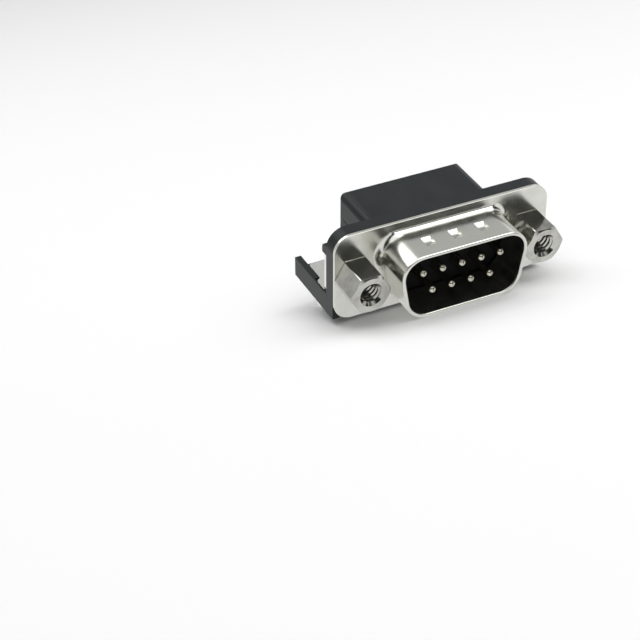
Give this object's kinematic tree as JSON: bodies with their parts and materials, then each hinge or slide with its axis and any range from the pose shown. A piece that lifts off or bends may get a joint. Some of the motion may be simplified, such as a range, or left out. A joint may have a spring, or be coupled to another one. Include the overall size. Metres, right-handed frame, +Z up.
{
  "type": "d-sub connector",
  "caption": "Right-angle through-hole D-sub plug: drawn metal D-shell with pins, moulded body with feet, hex jackscrews and board locks.",
  "frame": {"origin": "middle of the lower edge of the metal flange's front face, in the plane of the circuit board's top face", "axes": "+X across the flange to the right seen from the front, +Y backwards from the mating face, +Z up from the board"},
  "size_m": [0.0308, 0.0179, 0.0164],
  "materials": {
    "plated_steel": "bright nickel or tin plate on drawn steel, slightly warm, smooth",
    "screw_steel": "nickel-plated turned hexagon bar, semi-bright",
    "contact_metal": "tin or pale gold plate on rolled copper alloy, bright",
    "lock_metal": "tin-plated sheet, satin",
    "black_pbt": "black glass-filled thermoplastic, fine satin texture",
    "insert_plastic": "black thermoplastic insert, satin"
  },
  "bodies": {
    "root": {"front_shell": "plated_steel", "housing": "black_pbt", "insulator": "insert_plastic", "tail_comb": "black_pbt", "rear_cover": "black_pbt", "contact_1": "contact_metal", "contact_2": "contact_metal", "contact_3": "contact_metal", "contact_4": "contact_metal", "contact_5": "contact_metal", "contact_6": "contact_metal", "contact_7": "contact_metal", "contact_8": "contact_metal", "contact_9": "contact_metal", "bracket_left": "lock_metal", "bracket_right": "lock_metal", "board_lock_left": "lock_metal", "board_lock_right": "lock_metal", "jackscrew_left": "screw_steel", "jackscrew_right": "screw_steel"}
  },
  "joints": []
}
